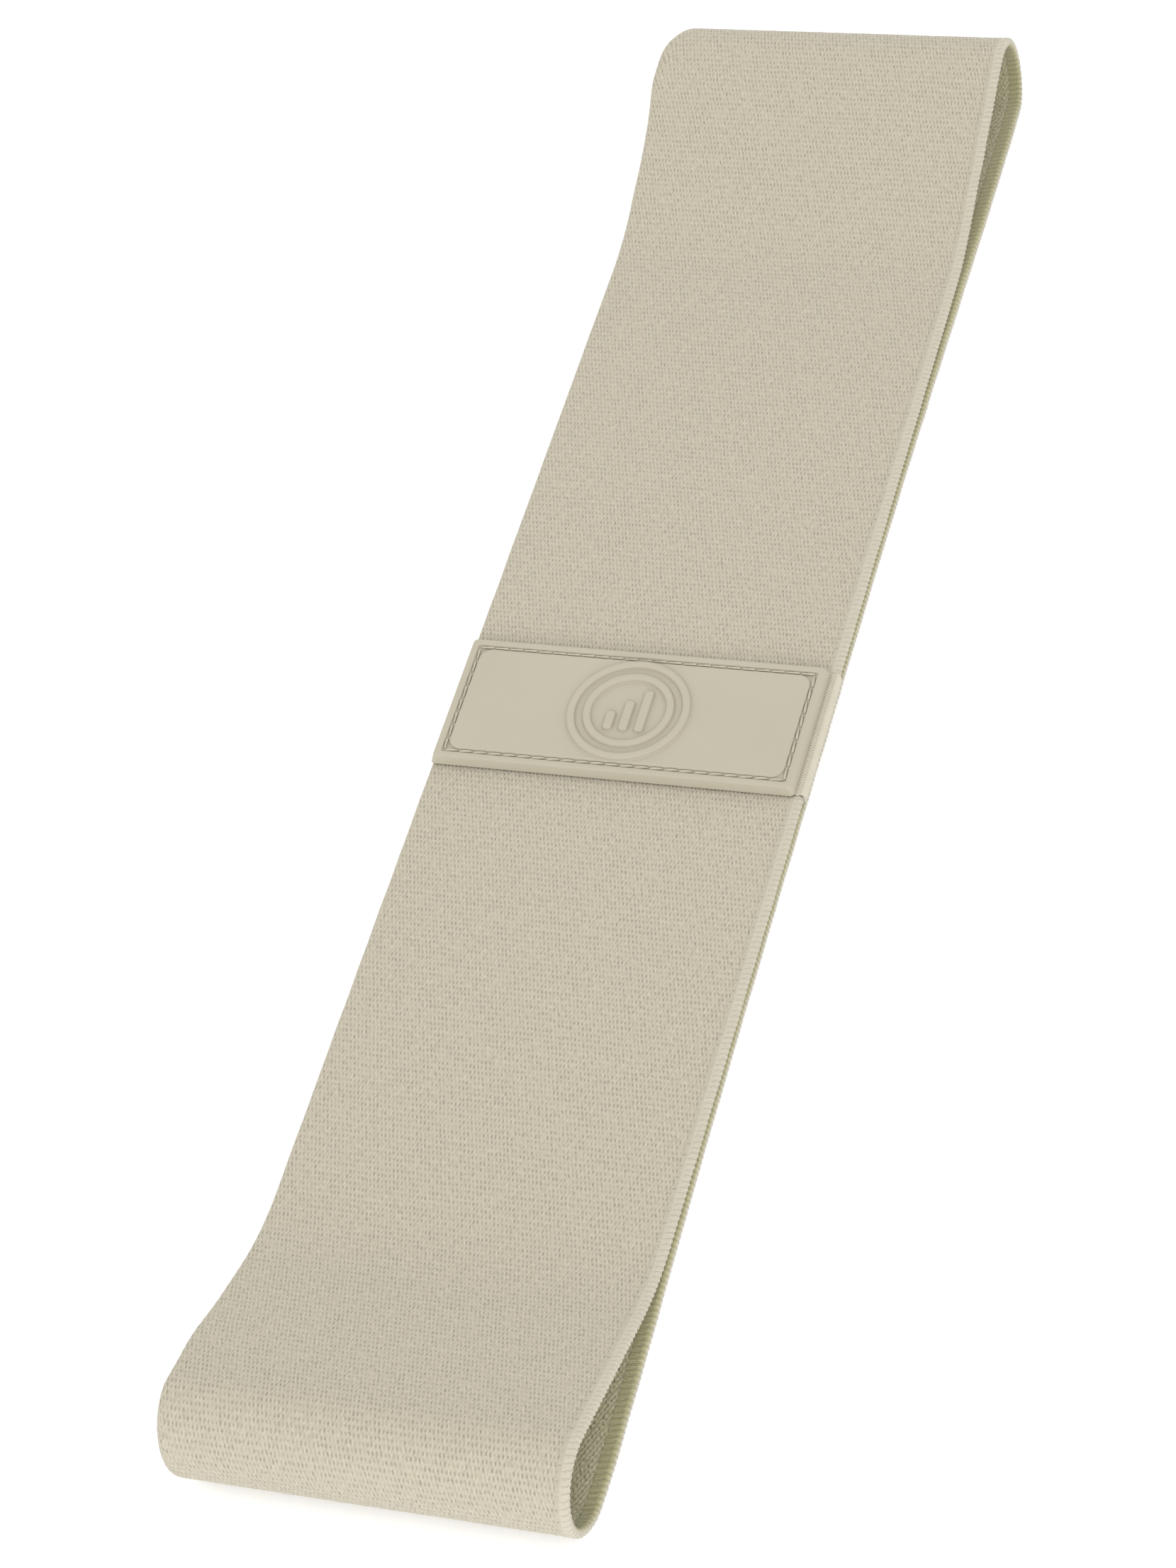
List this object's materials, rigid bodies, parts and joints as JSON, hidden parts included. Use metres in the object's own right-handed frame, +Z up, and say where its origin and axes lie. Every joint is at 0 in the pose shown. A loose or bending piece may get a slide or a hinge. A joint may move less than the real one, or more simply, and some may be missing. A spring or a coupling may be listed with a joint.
{
  "type": "fabric loop resistance band",
  "caption": "Wide woven elastic loop worn round the hips or thighs for resistance exercise, lying flat with open ends and a stitched soft-rubber patch over its joint.",
  "frame": {"origin": "on the ground under the middle of the loop, which lies on its back run", "axes": "+X along the loop towards the far end, +Y across the webbing, +Z up, out of the patch"},
  "size_m": [0.386, 0.0804, 0.0212],
  "materials": {
    "webbing": "matt knitted and woven yarn",
    "webbing_inside": "matt pebbled yarn",
    "selvedge": "matt ribbed yarn",
    "core_rubber": "matt natural latex",
    "patch_rubber": "satin moulded soft rubber",
    "tape": "fine woven tape",
    "thread": "twisted sewing thread"
  },
  "bodies": {
    "back_middle": {"outer_cloth_back_middle": "webbing", "inner_cloth_back_middle": "webbing_inside", "rubber_threads_back_middle": "core_rubber", "selvedges_back_middle": "selvedge"},
    "far_back_arm": {"outer_cloth_far_back_arm": "webbing", "inner_cloth_far_back_arm": "webbing_inside", "rubber_threads_far_back_arm": "core_rubber", "selvedges_far_back_arm": "selvedge"},
    "far_back_tip": {"outer_cloth_far_back_tip": "webbing", "inner_cloth_far_back_tip": "webbing_inside", "rubber_threads_far_back_tip": "core_rubber", "selvedges_far_back_tip": "selvedge"},
    "far_front_tip": {"outer_cloth_far_front_tip": "webbing", "inner_cloth_far_front_tip": "webbing_inside", "rubber_threads_far_front_tip": "core_rubber", "selvedges_far_front_tip": "selvedge"},
    "far_front_arm": {"outer_cloth_far_front_arm": "webbing", "inner_cloth_far_front_arm": "webbing_inside", "rubber_threads_far_front_arm": "core_rubber", "selvedges_far_front_arm": "selvedge"},
    "near_back_arm": {"outer_cloth_near_back_arm": "webbing", "inner_cloth_near_back_arm": "webbing_inside", "rubber_threads_near_back_arm": "core_rubber", "selvedges_near_back_arm": "selvedge"},
    "near_back_tip": {"outer_cloth_near_back_tip": "webbing", "inner_cloth_near_back_tip": "webbing_inside", "rubber_threads_near_back_tip": "core_rubber", "selvedges_near_back_tip": "selvedge"},
    "near_front_tip": {"outer_cloth_near_front_tip": "webbing", "inner_cloth_near_front_tip": "webbing_inside", "rubber_threads_near_front_tip": "core_rubber", "selvedges_near_front_tip": "selvedge"},
    "near_front_arm": {"outer_cloth_near_front_arm": "webbing", "inner_cloth_near_front_arm": "webbing_inside", "rubber_threads_near_front_arm": "core_rubber", "selvedges_near_front_arm": "selvedge"},
    "front_middle": {"outer_cloth_far_end": "webbing", "inner_cloth_far_end": "webbing_inside", "rubber_threads_far_end": "core_rubber", "selvedges_far_end": "selvedge", "outer_cloth_near_end": "webbing", "inner_cloth_near_end": "webbing_inside", "rubber_threads_near_end": "core_rubber", "selvedges_near_end": "selvedge", "joint_tape": "tape", "lacing_thread": "thread", "patch": "patch_rubber", "patch_bobbin_thread": "thread", "patch_needle_thread": "thread", "tape_thread": "thread"}
  },
  "joints": [
    {"name": "far_loop_open", "type": "hinge", "parent": "back_middle", "child": "far_back_arm", "pos_m": [0.021, 0, 0.0009], "axis": [0, -1, 0], "range_deg": [0, 40], "stiffness_Nm_per_rad": 0.03, "deforming": ["outer_cloth_far_back_arm", "inner_cloth_far_back_arm", "rubber_threads_far_back_arm", "selvedges_far_back_arm"]},
    {"name": "far_back_stretch", "type": "slide", "parent": "far_back_arm", "child": "far_back_tip", "axis": [1, 0, 0], "range_m": [0, 0.075], "stiffness_N_per_m": 400, "deforming": ["outer_cloth_far_back_tip", "inner_cloth_far_back_tip", "rubber_threads_far_back_tip", "selvedges_far_back_tip"]},
    {"name": "far_end_bend", "type": "hinge", "parent": "far_back_tip", "child": "far_front_tip", "pos_m": [0.188, 0, 0.0022], "axis": [0, 1, 0], "range_deg": [0, 80], "stiffness_Nm_per_rad": 0.03, "deforming": ["outer_cloth_far_front_tip", "inner_cloth_far_front_tip", "rubber_threads_far_front_tip", "selvedges_far_front_tip"]},
    {"name": "far_front_stretch", "type": "slide", "parent": "far_front_tip", "child": "far_front_arm", "axis": [-1, 0, 0], "range_m": [0, 0.075], "stiffness_N_per_m": 400, "deforming": ["outer_cloth_far_front_arm", "inner_cloth_far_front_arm", "rubber_threads_far_front_arm", "selvedges_far_front_arm"]},
    {"name": "patch_level", "type": "hinge", "parent": "far_front_arm", "child": "front_middle", "pos_m": [0.021, 0, 0.0035], "axis": [0, -1, 0], "range_deg": [0, 40], "stiffness_Nm_per_rad": 0.03},
    {"name": "near_loop_open", "type": "hinge", "parent": "back_middle", "child": "near_back_arm", "pos_m": [-0.021, 0, 0.0009], "axis": [0, 1, 0], "range_deg": [0, 40], "stiffness_Nm_per_rad": 0.03, "deforming": ["outer_cloth_near_back_arm", "inner_cloth_near_back_arm", "rubber_threads_near_back_arm", "selvedges_near_back_arm"]},
    {"name": "near_back_stretch", "type": "slide", "parent": "near_back_arm", "child": "near_back_tip", "axis": [-1, 0, 0], "range_m": [0, 0.075], "stiffness_N_per_m": 400, "deforming": ["outer_cloth_near_back_tip", "inner_cloth_near_back_tip", "rubber_threads_near_back_tip", "selvedges_near_back_tip"]},
    {"name": "near_end_bend", "type": "hinge", "parent": "near_back_tip", "child": "near_front_tip", "pos_m": [-0.188, 0, 0.0022], "axis": [0, -1, 0], "range_deg": [0, 80], "stiffness_Nm_per_rad": 0.03, "deforming": ["outer_cloth_near_front_tip", "inner_cloth_near_front_tip", "rubber_threads_near_front_tip", "selvedges_near_front_tip"]},
    {"name": "near_front_stretch", "type": "slide", "parent": "near_front_tip", "child": "near_front_arm", "axis": [1, 0, 0], "range_m": [0, 0.075], "stiffness_N_per_m": 400, "deforming": ["outer_cloth_near_front_arm", "inner_cloth_near_front_arm", "rubber_threads_near_front_arm", "selvedges_near_front_arm"]}
  ],
  "couplings": [
    {"joint": "near_loop_open", "follows": "far_loop_open", "ratio": 1},
    {"joint": "far_end_bend", "follows": "far_loop_open", "ratio": 2},
    {"joint": "near_end_bend", "follows": "far_loop_open", "ratio": 2},
    {"joint": "patch_level", "follows": "far_loop_open", "ratio": 1},
    {"joint": "near_back_stretch", "follows": "far_back_stretch", "ratio": 1},
    {"joint": "far_front_stretch", "follows": "far_back_stretch", "ratio": 1},
    {"joint": "near_front_stretch", "follows": "far_back_stretch", "ratio": 1}
  ]
}
